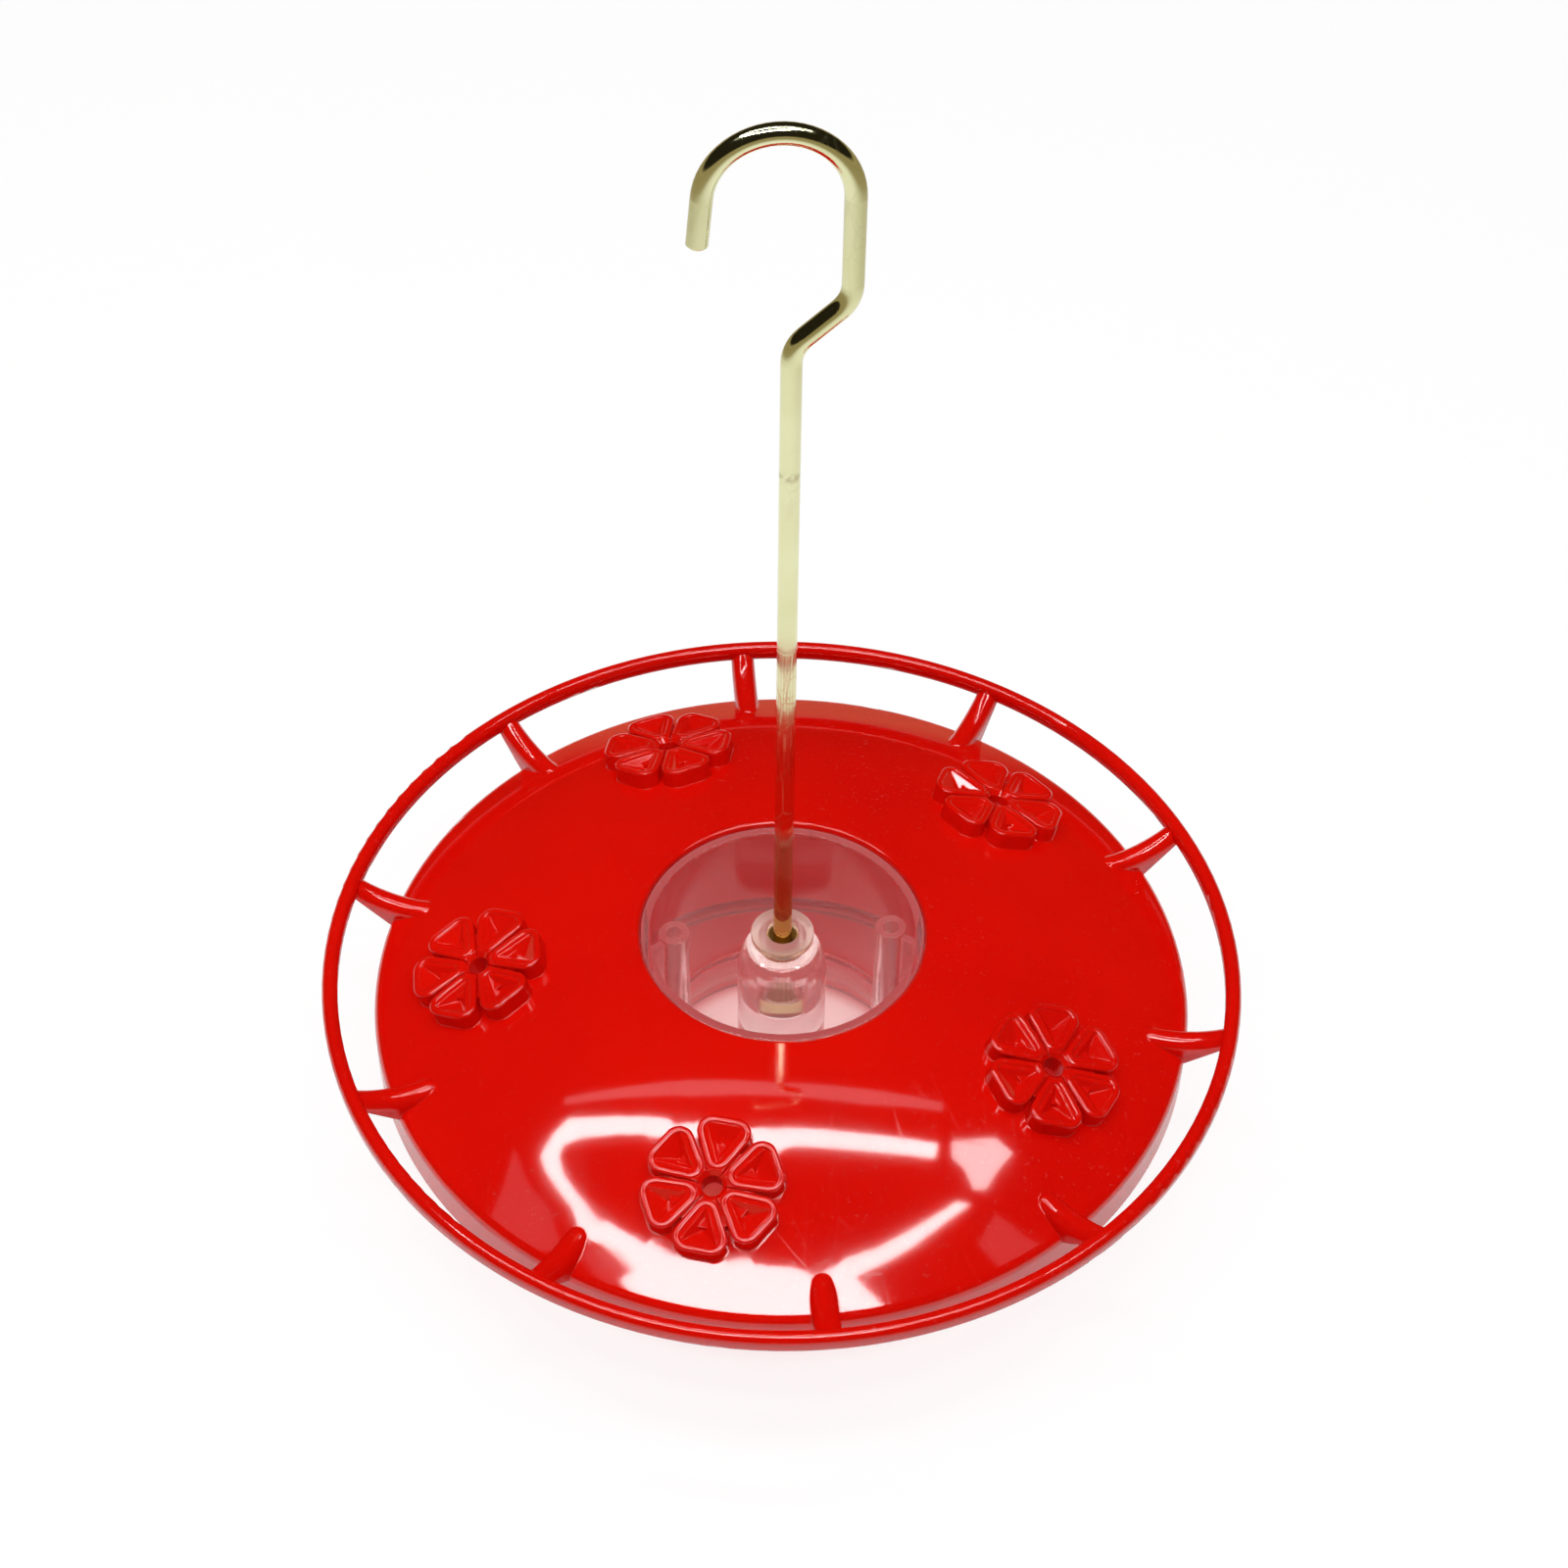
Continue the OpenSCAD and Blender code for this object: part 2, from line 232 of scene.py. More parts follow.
class Effects:
    """Shader node groups that more than one finish uses."""

    def __init__(self) -> None:
        """Builds the four groups once."""
        self.skin = self._moulded_skin()
        self.scratches = self._hair_scratches()
        self.dust = self._settled_dust()
        self.drift = self._colour_drift()

    def _moulded_skin(self) -> Tree:
        """Builds the surface of a moulded or drawn part: rounded edges and a fine unevenness.

        Returns:
            A group that puts out a normal.
        """
        tree, given, out = group_tree(
            "moulded_skin",
            "ShaderNodeTree",
            {
                "Edge Radius": 0.0004,
                "Peel Scale": 300.0,
                "Peel Depth": 0.00001,
                "Wave Scale": 30.0,
                "Wave Depth": 0.00004,
            },
            {"Normal": "NodeSocketVector"},
        )
        place = object_place(tree)
        last = put(tree, "ShaderNodeBevel", {"Radius": given["Edge Radius"]}, samples=6).outputs["Normal"]
        for layer in ("Wave", "Peel"):
            height = noise(tree, place, given[f"{layer} Scale"], detail=1.5, roughness=0.45)
            inputs = {"Strength": 1.0, "Distance": given[f"{layer} Depth"], "Height": height, "Normal": last}
            last = put(tree, "ShaderNodeBump", inputs).outputs["Normal"]
        tree.links.new(last, out["Normal"])
        arrange(tree)
        return tree

    def _hair_scratches(self) -> Tree:
        """Builds thin handling scratches in three directions.

        Returns:
            A group that puts out a mask.
        """
        tree, given, out = group_tree(
            "hair_scratches",
            "ShaderNodeTree",
            {"Scale": 60.0, "Width": 0.012, "Amount": 0.5},
            {"Mask": "NodeSocketFloat"},
        )
        place = object_place(tree)
        total = 0.0
        for turn in (0.4, 1.5, 2.6):
            stretch = {"Vector": place, "Rotation": (0.3 * turn, 0.2, turn), "Scale": (1.0, 0.07, 0.6)}
            stretched = put(tree, "ShaderNodeMapping", stretch).outputs["Vector"]
            cells = put(
                tree, "ShaderNodeTexVoronoi", {"Vector": stretched, "Scale": given["Scale"]},
                feature="DISTANCE_TO_EDGE",
            )
            line = maths(tree, "LESS_THAN", cells.outputs["Distance"], given["Width"])
            patch = ramp(tree, noise(tree, place, scale=24.0 + 9.0 * turn, detail=1.0), low=0.52, high=0.6)
            total = maths(tree, "MAXIMUM", total, maths(tree, "MULTIPLY", line, patch))
        tree.links.new(maths(tree, "MULTIPLY", total, given["Amount"]), out["Mask"])
        arrange(tree)
        return tree

    def _settled_dust(self) -> Tree:
        """Builds dust that settles in specks and patches on faces that look up.

        Returns:
            A group that puts out a mask.
        """
        tree, given, out = group_tree(
            "settled_dust",
            "ShaderNodeTree",
            {"Speck Scale": 700.0, "Amount": 0.2},
            {"Mask": "NodeSocketFloat"},
        )
        place = object_place(tree)
        face = put(tree, "ShaderNodeNewGeometry").outputs["Normal"]
        mask = ramp(tree, noise(tree, place, given["Speck Scale"], roughness=0.6), low=0.62, high=0.74)
        patch = ramp(tree, noise(tree, place, scale=14.0), low=0.4, high=0.7, start=0.15)
        up = ramp(tree, height_of(tree, face), low=0.3, high=0.9)
        for other in (patch, up, given["Amount"]):
            mask = maths(tree, "MULTIPLY", mask, other)
        tree.links.new(mask, out["Mask"])
        arrange(tree)
        return tree

    def _colour_drift(self) -> Tree:
        """Builds a slow change between two near colours, as uneven pigment or plating gives.

        Returns:
            A group that puts out a colour and the value behind it.
        """
        tree, given, out = group_tree(
            "colour_drift",
            "ShaderNodeTree",
            {"First": (0.5, 0.5, 0.5, 1.0), "Second": (0.6, 0.6, 0.6, 1.0), "Scale": 18.0},
            {"Colour": "NodeSocketColor", "Value": "NodeSocketFloat"},
        )
        cloud = noise(tree, object_place(tree), given["Scale"], detail=3.0, roughness=0.55)
        value = ramp(tree, cloud, low=0.35, high=0.65)
        tree.links.new(blend(tree, value, given["First"], given["Second"]), out["Colour"])
        tree.links.new(value, out["Value"])
        arrange(tree)
        return tree


# ------------------------------------------------------------------ finishes


def blank_material(name: str) -> tuple[Material, Tree, Node]:
    """Makes a material with one Principled shader on its output.

    Args:
        name: The material's name.

    Returns:
        The material, its tree and its shader node.
    """
    material = bpy.data.materials.new(name)
    material.use_nodes = True
    tree = material.node_tree
    tree.nodes.clear()
    shader = put(tree, "ShaderNodeBsdfPrincipled")
    put(tree, "ShaderNodeOutputMaterial", {"Surface": shader.outputs["BSDF"]})
    return material, tree, shader


def use_group(tree: Tree, group: Tree, **values: object) -> Sockets:
    """Places a shader group in a material with its own values.

    Args:
        tree: The material's tree.
        group: The group to place.
        values: Values by input name, with _ for a space.

    Returns:
        What the group puts out.
    """
    named = {name.replace("_", " "): value for name, value in values.items()}
    return put(tree, "ShaderNodeGroup", named, node_tree=group).outputs


def sum_of(tree: Tree, start: float, *terms: tuple[Socket, float]) -> Socket:
    """Adds weighted masks to a starting value.

    Args:
        tree: The material's tree.
        start: The value where every mask is zero.
        terms: Each mask's socket and its weight.

    Returns:
        The socket that carries the sum.
    """
    total = start
    for mask, weight in terms:
        total = maths(tree, "MULTIPLY_ADD", mask, weight, total)
    return total


def mix_over(tree: Tree, share: Socket, other: Socket) -> None:
    """Mixes another shader over the one on the material's output.

    Args:
        tree: The material's tree.
        share: How much of the other shader there is.
        other: The other shader's socket.
    """
    output = next(n for n in tree.nodes if n.bl_idname == "ShaderNodeOutputMaterial")
    before = output.inputs["Surface"].links[0].from_socket
    mixed = put(tree, "ShaderNodeMixShader", {0: share, 1: before, 2: other})
    fill(tree, output, {"Surface": mixed.outputs[0]})


def let_light_through(tree: Tree, shade: Colour) -> None:
    """Lets lamplight pass through a wall, tinted, so that what lies behind it is lit.

    Args:
        tree: The material's tree.
        shade: What one surface lets pass.
    """
    clear = put(tree, "ShaderNodeBsdfTransparent", {"Color": shade})
    mix_over(tree, put(tree, "ShaderNodeLightPath").outputs["Is Shadow Ray"], clear.outputs["BSDF"])


def end_caught_light(tree: Tree, colour: Colour, turns: float) -> None:
    """Paints a glow on light that runs to and fro inside a clear wall: after that many mirror turns, an emission of
    one tone takes the place of the shader.

    Args:
        tree: The material's tree.
        colour: That tone.
        turns: How many mirror turns inside the wall light takes before it gets it.
    """
    often = maths(tree, "GREATER_THAN", put(tree, "ShaderNodeLightPath").outputs["Glossy Depth"], turns)
    mix_over(tree, often, put(tree, "ShaderNodeEmission", {"Color": colour}).outputs[0])


@dataclass(frozen=True)
class RedGloss:
    """Glossy red injection moulding of the cover."""

    base: Colour = (0.79, 0.0045, 0.0010, 1.0)
    deep: Colour = (0.71, 0.0030, 0.0008, 1.0)
    dust: Colour = (0.72, 0.42, 0.38, 1.0)
    roughness: float = 0.05
    pigment_rough: float = 0.02
    hair_rough: float = 0.12
    dust_rough: float = 0.9
    edge_radius: float = 0.5 * MM
    glow: float = 0.12
    glow_depth: float = 2.0 * MM
    coat: float = 0.3
    shade: Colour = (0.76, 0.05, 0.045, 1.0)

    def build(self, effects: Effects) -> Material:
        """Builds the material.

        Args:
            effects: The shared node groups.

        Returns:
            The finished material.
        """
        material, tree, shader = blank_material("red_gloss")
        colour = use_group(tree, effects.drift, First=self.base, Second=self.deep, Scale=16.0)
        dust = use_group(tree, effects.dust, Speck_Scale=900.0, Amount=0.08)["Mask"]
        hair = use_group(tree, effects.scratches, Scale=110.0, Width=0.005, Amount=0.5)["Mask"]
        skin = use_group(
            tree, effects.skin, Edge_Radius=self.edge_radius, Peel_Scale=420.0, Peel_Depth=0.000003,
            Wave_Scale=24.0, Wave_Depth=0.00003,
        )
        rough = sum_of(
            tree, self.roughness,
            (colour["Value"], self.pigment_rough), (hair, self.hair_rough), (dust, self.dust_rough),
        )
        fill(tree, shader, {
            "Base Color": blend(tree, dust, colour["Colour"], self.dust),
            "Roughness": rough,
            "Normal": skin["Normal"],
            "IOR": 1.5,
            "Subsurface Weight": self.glow,
            "Subsurface Radius": (1.0, 0.12, 0.06),
            "Subsurface Scale": self.glow_depth,
            "Coat Weight": self.coat,
            "Coat Roughness": 0.03,
            "Coat IOR": 1.6,
        })
        let_light_through(tree, self.shade)
        arrange(tree)
        return material


@dataclass(frozen=True)
class PaintedWallLight:
    """Painted light from the red cover for the clear walls that stand between two distances from the axis."""

    near: float
    far: float
    colour: Colour
    fade: float = 0.4 * MM


@dataclass(frozen=True)
class ClearMoulding:
    """Clear moulded plastic of the dish and the bush."""

    name: str
    # Rose tint of the plastic; it also carries part of the red cover's light as painted light.
    tint_and_red_light: Colour = (0.95, 0.85, 0.86, 1.0)
    second: Colour = (0.97, 0.89, 0.90, 1.0)
    clearness: float = 0.96
    # Painted glow: light caught inside a clear wall ends in an emission of this red tone.
    caught: Colour = (0.54, 0.08, 0.08, 1.0)
    caught_turns: float = 2.5
    ior: float = 1.5
    roughness: float = 0.015
    pigment_rough: float = 0.012
    hair_rough: float = 0.1
    edge_radius: float = 0.4 * MM
    shade: Colour = (0.92, 0.88, 0.88, 1.0)
    frost_z: float | None = None
    frost: float = 0.4
    frost_fade: float = 0.3 * MM
    walls: tuple[PaintedWallLight, ...] = ()

    def build(self, effects: Effects) -> Material:
        """Builds the material; light passes to what is behind it.

        Args:
            effects: The shared node groups.

        Returns:
            The finished material.
        """
        material, tree, shader = blank_material(self.name)
        colour = use_group(tree, effects.drift, First=self.tint_and_red_light, Second=self.second, Scale=22.0)
        hair = use_group(tree, effects.scratches, Scale=70.0, Width=0.008, Amount=1.0)["Mask"]
        skin = use_group(
            tree, effects.skin, Edge_Radius=self.edge_radius, Peel_Scale=260.0, Peel_Depth=0.000003,
            Wave_Scale=48.0, Wave_Depth=0.00003,
        )
        place = object_place(tree)
        rough = sum_of(tree, self.roughness, (colour["Value"], self.pigment_rough), (hair, self.hair_rough))
        if self.frost_z is not None:
            above = ramp(tree, height_of(tree, place), self.frost_z, self.frost_z + self.frost_fade)
            rough = maths(tree, "MULTIPLY_ADD", above, self.frost, rough)
        fill(tree, shader, {
            "Base Color": self._painted_wall_light(tree, place, colour["Colour"]),
            "Roughness": rough,
            "Normal": skin["Normal"],
            "Transmission Weight": self.clearness,
            "IOR": self.ior,
        })
        let_light_through(tree, self.shade)
        end_caught_light(tree, self.caught, self.caught_turns)
        arrange(tree)
        return material

    def _painted_wall_light(self, tree: Tree, place: Socket, colour: Socket) -> Socket:
        """Paints the red cover's light, as their colour, on the walls that stand at given distances from the axis.

        Args:
            tree: The material's tree.
            place: The socket of the Object coordinates.
            colour: The colour elsewhere.

        Returns:
            The socket that carries the colour.
        """
        if not self.walls:
            return colour
        flat = put(tree, "ShaderNodeVectorMath", {0: place, 1: (1.0, 1.0, 0.0)}, operation="MULTIPLY").outputs[0]
        reach = put(tree, "ShaderNodeVectorMath", {0: flat}, operation="LENGTH").outputs["Value"]
        for wall in self.walls:
            beyond = ramp(tree, reach, wall.near - wall.fade, wall.near)
            within = ramp(tree, reach, wall.far + wall.fade, wall.far)
            colour = blend(tree, maths(tree, "MULTIPLY", beyond, within), colour, wall.colour)
        return colour


@dataclass(frozen=True)
class PlatedWire:
    """Bright brass plating on drawn wire."""

    base: Colour = (0.78, 0.785, 0.49, 1.0)
    deep: Colour = (0.71, 0.70, 0.40, 1.0)
    worn: Colour = (0.62, 0.59, 0.36, 1.0)
    roughness: float = 0.05
    line_rough: float = 0.08
    hair_rough: float = 0.12
    scuff_rough: float = 0.3
    scuff_z: float = 181.0 * MM
    scuff_reach: float = 1.6 * MM
    # Painted reflection of the red cover: amber and darker low on the rod, full below 66 mm and fading out by 86 mm.
    painted_reflection: Colour = (0.67, 0.45, 0.14, 1.0)
    painted_reflection_from: float = 86.0 * MM
    painted_reflection_to: float = 66.0 * MM
    line_scale: float = 2600.0
    line_stretch: float = 0.02
    line_depth: float = 0.0015 * MM

    def build(self, effects: Effects) -> Material:
        """Builds the material, with drawing lines along the wire, a scuff on the rod and an amber painted reflection
        of the red cover low on the rod, down to its thread.

        Args:
            effects: The shared node groups.

        Returns:
            The finished material.
        """
        material, tree, shader = blank_material("plated_wire")
        colour = use_group(tree, effects.drift, First=self.base, Second=self.deep, Scale=40.0)["Colour"]
        hair = use_group(tree, effects.scratches, Scale=150.0, Width=0.02, Amount=1.0)["Mask"]
        skin = use_group(
            tree, effects.skin, Edge_Radius=0.0003, Peel_Scale=500.0, Peel_Depth=0.000004,
            Wave_Scale=90.0, Wave_Depth=0.00001,
        )
        place = object_place(tree)
        height = height_of(tree, place)
        stretch = {"Vector": place, "Scale": (1.0, 1.0, self.line_stretch)}
        lines = noise(tree, put(tree, "ShaderNodeMapping", stretch).outputs["Vector"], self.line_scale)
        away = maths(tree, "ABSOLUTE", maths(tree, "SUBTRACT", height, self.scuff_z))
        near = ramp(tree, away, low=0.0, high=self.scuff_reach, start=1.0, end=0.0)
        broken = ramp(tree, noise(tree, place, scale=900.0, detail=3.0), low=0.42, high=0.56)
        scuff = maths(tree, "MULTIPLY", near, broken)
        plating = blend(tree, scuff, colour, self.worn)
        # Painted reflection: the rod turns amber towards the bottom, standing in for the red cover beside it.
        low = ramp(tree, height, self.painted_reflection_from, self.painted_reflection_to)
        rough = sum_of(
            tree, self.roughness,
            (lines, self.line_rough), (hair, self.hair_rough), (scuff, self.scuff_rough),
        )
        bump = {"Strength": 1.0, "Distance": self.line_depth, "Height": lines, "Normal": skin["Normal"]}
        fill(tree, shader, {
            "Base Color": blend(tree, low, plating, self.painted_reflection),
            "Roughness": rough,
            "Normal": put(tree, "ShaderNodeBump", bump).outputs["Normal"],
            "Metallic": 1.0,
        })
        arrange(tree)
        return material


@dataclass(frozen=True)
class TurnedBrass:
    """Turned brass of the insert."""

    base: Colour = (0.95, 0.80, 0.42, 1.0)
    deep: Colour = (0.86, 0.68, 0.30, 1.0)
    roughness: float = 0.38
    mark_rough: float = 0.08
    pigment_rough: float = 0.06
    mark_scale: float = 1500.0
    mark_depth: float = 0.006 * MM

    def build(self, effects: Effects) -> Material:
        """Builds the material, with tool marks round the axis.

        Args:
            effects: The shared node groups.

        Returns:
            The finished material.
        """
        material, tree, shader = blank_material("turned_brass")
        colour = use_group(tree, effects.drift, First=self.base, Second=self.deep, Scale=160.0)
        skin = use_group(
            tree, effects.skin, Edge_Radius=0.0002, Peel_Scale=800.0, Peel_Depth=0.000003,
            Wave_Scale=120.0, Wave_Depth=0.000006,
        )
        marks = put(
            tree, "ShaderNodeTexWave",
            {"Vector": object_place(tree), "Scale": self.mark_scale, "Distortion": 1.5, "Detail": 1.0},
            wave_type="BANDS", bands_direction="Z",
        ).outputs["Fac"]
        bump = {"Strength": 1.0, "Distance": self.mark_depth, "Height": marks, "Normal": skin["Normal"]}
        fill(tree, shader, {
            "Base Color": colour["Colour"],
            "Roughness": sum_of(
                tree, self.roughness, (marks, self.mark_rough), (colour["Value"], self.pigment_rough)
            ),
            "Normal": put(tree, "ShaderNodeBump", bump).outputs["Normal"],
            "Metallic": 1.0,
        })
        arrange(tree)
        return material


@dataclass(frozen=True)
class PaleFloor:
    """Matt white table top; what looks at it sees it nearly white, with the object's shadow kept. Seen through the
    dish it carries painted light: the cover's red light under the dish and a pale pool under the well's hole.
    """

    base: Colour = (0.86, 0.855, 0.85, 1.0)
    second: Colour = (0.87, 0.867, 0.865, 1.0)
    white: float = 1.05
    lift: float = 0.85
    seen_from: float = 0.05
    seen_to: float = 0.078
    shade_from: float = 0.088
    shade_to: float = 0.11
    # Painted light, seen only through the dish: under is the cover's red light on the table, well is the pale pool
    # where light falls through the well's hole.
    under: Colour = (0.56, 0.085, 0.09, 1.0)
    well: Colour = (0.92, 0.89, 0.89, 1.0)
    well_from: float = 0.026
    well_to: float = 0.032
    far_from: float = 0.18
    far_to: float = 0.6
    far: Colour = (0.34, 0.27, 0.13, 1.0)
    far_centre: Point = (-0.05, -0.03, 0.0)
    open_from: float = 0.25
    open_to: float = 0.9

    def build(self, effects: Effects) -> Material:
        """Builds the material.

        Args:
            effects: The shared node groups.

        Returns:
            The finished material.
        """
        material, tree, shader = blank_material("pale_floor")
        colour = use_group(tree, effects.drift, First=self.base, Second=self.second, Scale=3.0)["Colour"]
        place = object_place(tree)
        path = put(tree, "ShaderNodeLightPath").outputs
        reach = put(tree, "ShaderNodeVectorMath", {0: place}, operation="LENGTH").outputs["Value"]
        away = put(
            tree, "ShaderNodeVectorMath", {0: place, 1: self.far_centre}, operation="DISTANCE"
        ).outputs["Value"]

        # Painted light for transmission rays inside shade_from: red light under the cover, a pale pool under the
        # well's hole.
        pool = blend(tree, self._step(tree, reach, self.well_from, self.well_to), self.well, self.under)
        inside = maths(tree, "SUBTRACT", 1.0, self._step(tree, reach, self.shade_from, self.shade_to))
        through = maths(tree, "MULTIPLY", inside, path["Is Transmission Ray"])
        painted_light_base = blend(tree, through, colour, pool)
        fill(tree, shader, {"Base Color": painted_light_base, "Roughness": 0.9, "Specular IOR Level": 0.0})

        distant = maths(
            tree, "MULTIPLY", self._step(tree, away, self.far_from, self.far_to), path["Is Glossy Ray"]
        )
        tone = blend(tree, distant, WHITE, self.far)
        glow = put(tree, "ShaderNodeEmission", {"Color": tone, "Strength": self.white})
        share = 0.0
        for ray, near, wide, most in (
            ("Is Camera Ray", self.seen_from, self.seen_to, self.lift),
            ("Is Camera Ray", self.open_from, self.open_to, 1.0),
            ("Is Glossy Ray", self.shade_from, self.shade_to, self.lift),
            ("Is Transmission Ray", self.shade_from, self.shade_to, self.lift),
        ):
            part = maths(tree, "MULTIPLY", self._step(tree, reach, near, wide, most), path[ray])
            share = maths(tree, "MAXIMUM", share, part)
        mix_over(tree, share, glow.outputs[0])
        arrange(tree)
        return material

    @staticmethod
    def _step(tree: Tree, distance: Socket, near: float, wide: float, most: float = 1.0) -> Socket:
        """Adds a soft step over a distance.

        Args:
            tree: The floor's tree.
            distance: The distance's socket.
            near: Where the step starts.
            wide: Where the step ends.
            most: The value beyond the step.

        Returns:
            The socket that carries the step.
        """
        return ramp(tree, distance, near, wide, end=most, kind="SMOOTHSTEP")


# ------------------------------------------------------------------- helpers


def link_object(name: str, mesh: bpy.types.Mesh) -> Piece:
    """Puts a mesh into the scene as a new object at the origin."""
    made = bpy.data.objects.new(name, mesh)
    bpy.context.scene.collection.objects.link(made)
    return made


def run_tree(name: str, tree: Tree, values: dict[str, object]) -> Piece:
    """Runs a Geometry Nodes tree and keeps its result as a plain mesh.

    Args:
        name: The piece's name.
        tree: The geometry tree.
        values: Modifier inputs by socket name.

    Returns:
        The piece, at the origin and without a modifier.
    """
    made = link_object(name, bpy.data.meshes.new(name))
    modifier = made.modifiers.new("build", "NODES")
    modifier.node_group = tree
    for item in tree.interface.items_tree:
        if item.item_type == "SOCKET" and item.in_out == "INPUT" and item.name in values:
            modifier[item.identifier] = values[item.name]
    graph = bpy.context.evaluated_depsgraph_get()
    mesh = bpy.data.meshes.new_from_object(made.evaluated_get(graph))
    made.modifiers.clear()
    made.data = mesh
    mesh.name = name
    mesh.shade_smooth()
    LOG.info("%s: %d faces from Geometry Nodes", name, len(mesh.polygons))
    return made


def ring_of(
    tree: Tree,
    count: Socket,
    shape: Socket,
    circle: Number = 0.0,
    height: Number = 0.0,
    tilt: Number = 0.0,
    first: Number = 0.0,
) -> Socket:
    """Repeats a shape round the Z axis at equal turns.

    Args:
        tree: The geometry tree.
        count: How many there are.
        shape: The geometry to repeat.
        circle: Radius of the circle they stand on.
        height: Height of that circle.
        tilt: Outward tilt of each.
        first: Turn of the first one.

    Returns:
        The socket that carries the instances.
    """
    index = put(tree, "GeometryNodeInputIndex").outputs[0]
    turn = maths(tree, "MULTIPLY_ADD", index, maths(tree, "DIVIDE", 2.0 * math.pi, count), first)
    across, along = (maths(tree, "MULTIPLY", maths(tree, wave, turn), circle) for wave in ("COSINE", "SINE"))
    spot = put(tree, "ShaderNodeCombineXYZ", {"X": across, "Y": along, "Z": height})
    spin = put(tree, "ShaderNodeCombineXYZ", {"Y": tilt, "Z": turn})
    spots = put(tree, "GeometryNodePoints", {"Count": count, "Position": spot.outputs[0]})
    copies = put(tree, "GeometryNodeInstanceOnPoints", {
        "Points": spots.outputs[0], "Instance": shape, "Rotation": spin.outputs[0],
    })
    return copies.outputs["Instances"]


def end_tree(tree: Tree, shape: Socket, material: Material, out: Sockets) -> None:
    """Ends a geometry tree in real faces with one finish.

    Args:
        tree: The geometry tree.
        shape: All its geometry.
        material: The finish.
        out: The tree's outputs to feed.
    """
    real = put(tree, "GeometryNodeRealizeInstances", {0: shape})
    paint = put(tree, "GeometryNodeSetMaterial", {"Geometry": real.outputs[0], "Material": material})
    tree.links.new(paint.outputs["Geometry"], out["Geometry"])
    arrange(tree)


def dress(name: str, material: Material, body: Body) -> None:
    """Puts a finish on a carried-over CAD node.

    Args:
        name: The CAD node's name.
        material: The finish for all its faces.
        body: The body it moves with.
    """
    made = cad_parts[name]
    for slot in made.material_slots:
        slot.material = material
    if not made.material_slots:
        made.data.materials.append(material)
    LOG.info("%s on %s: CAD solid with finish %s", name, body.value, material.name)


# ------------------------------------------------------------ sub-assemblies


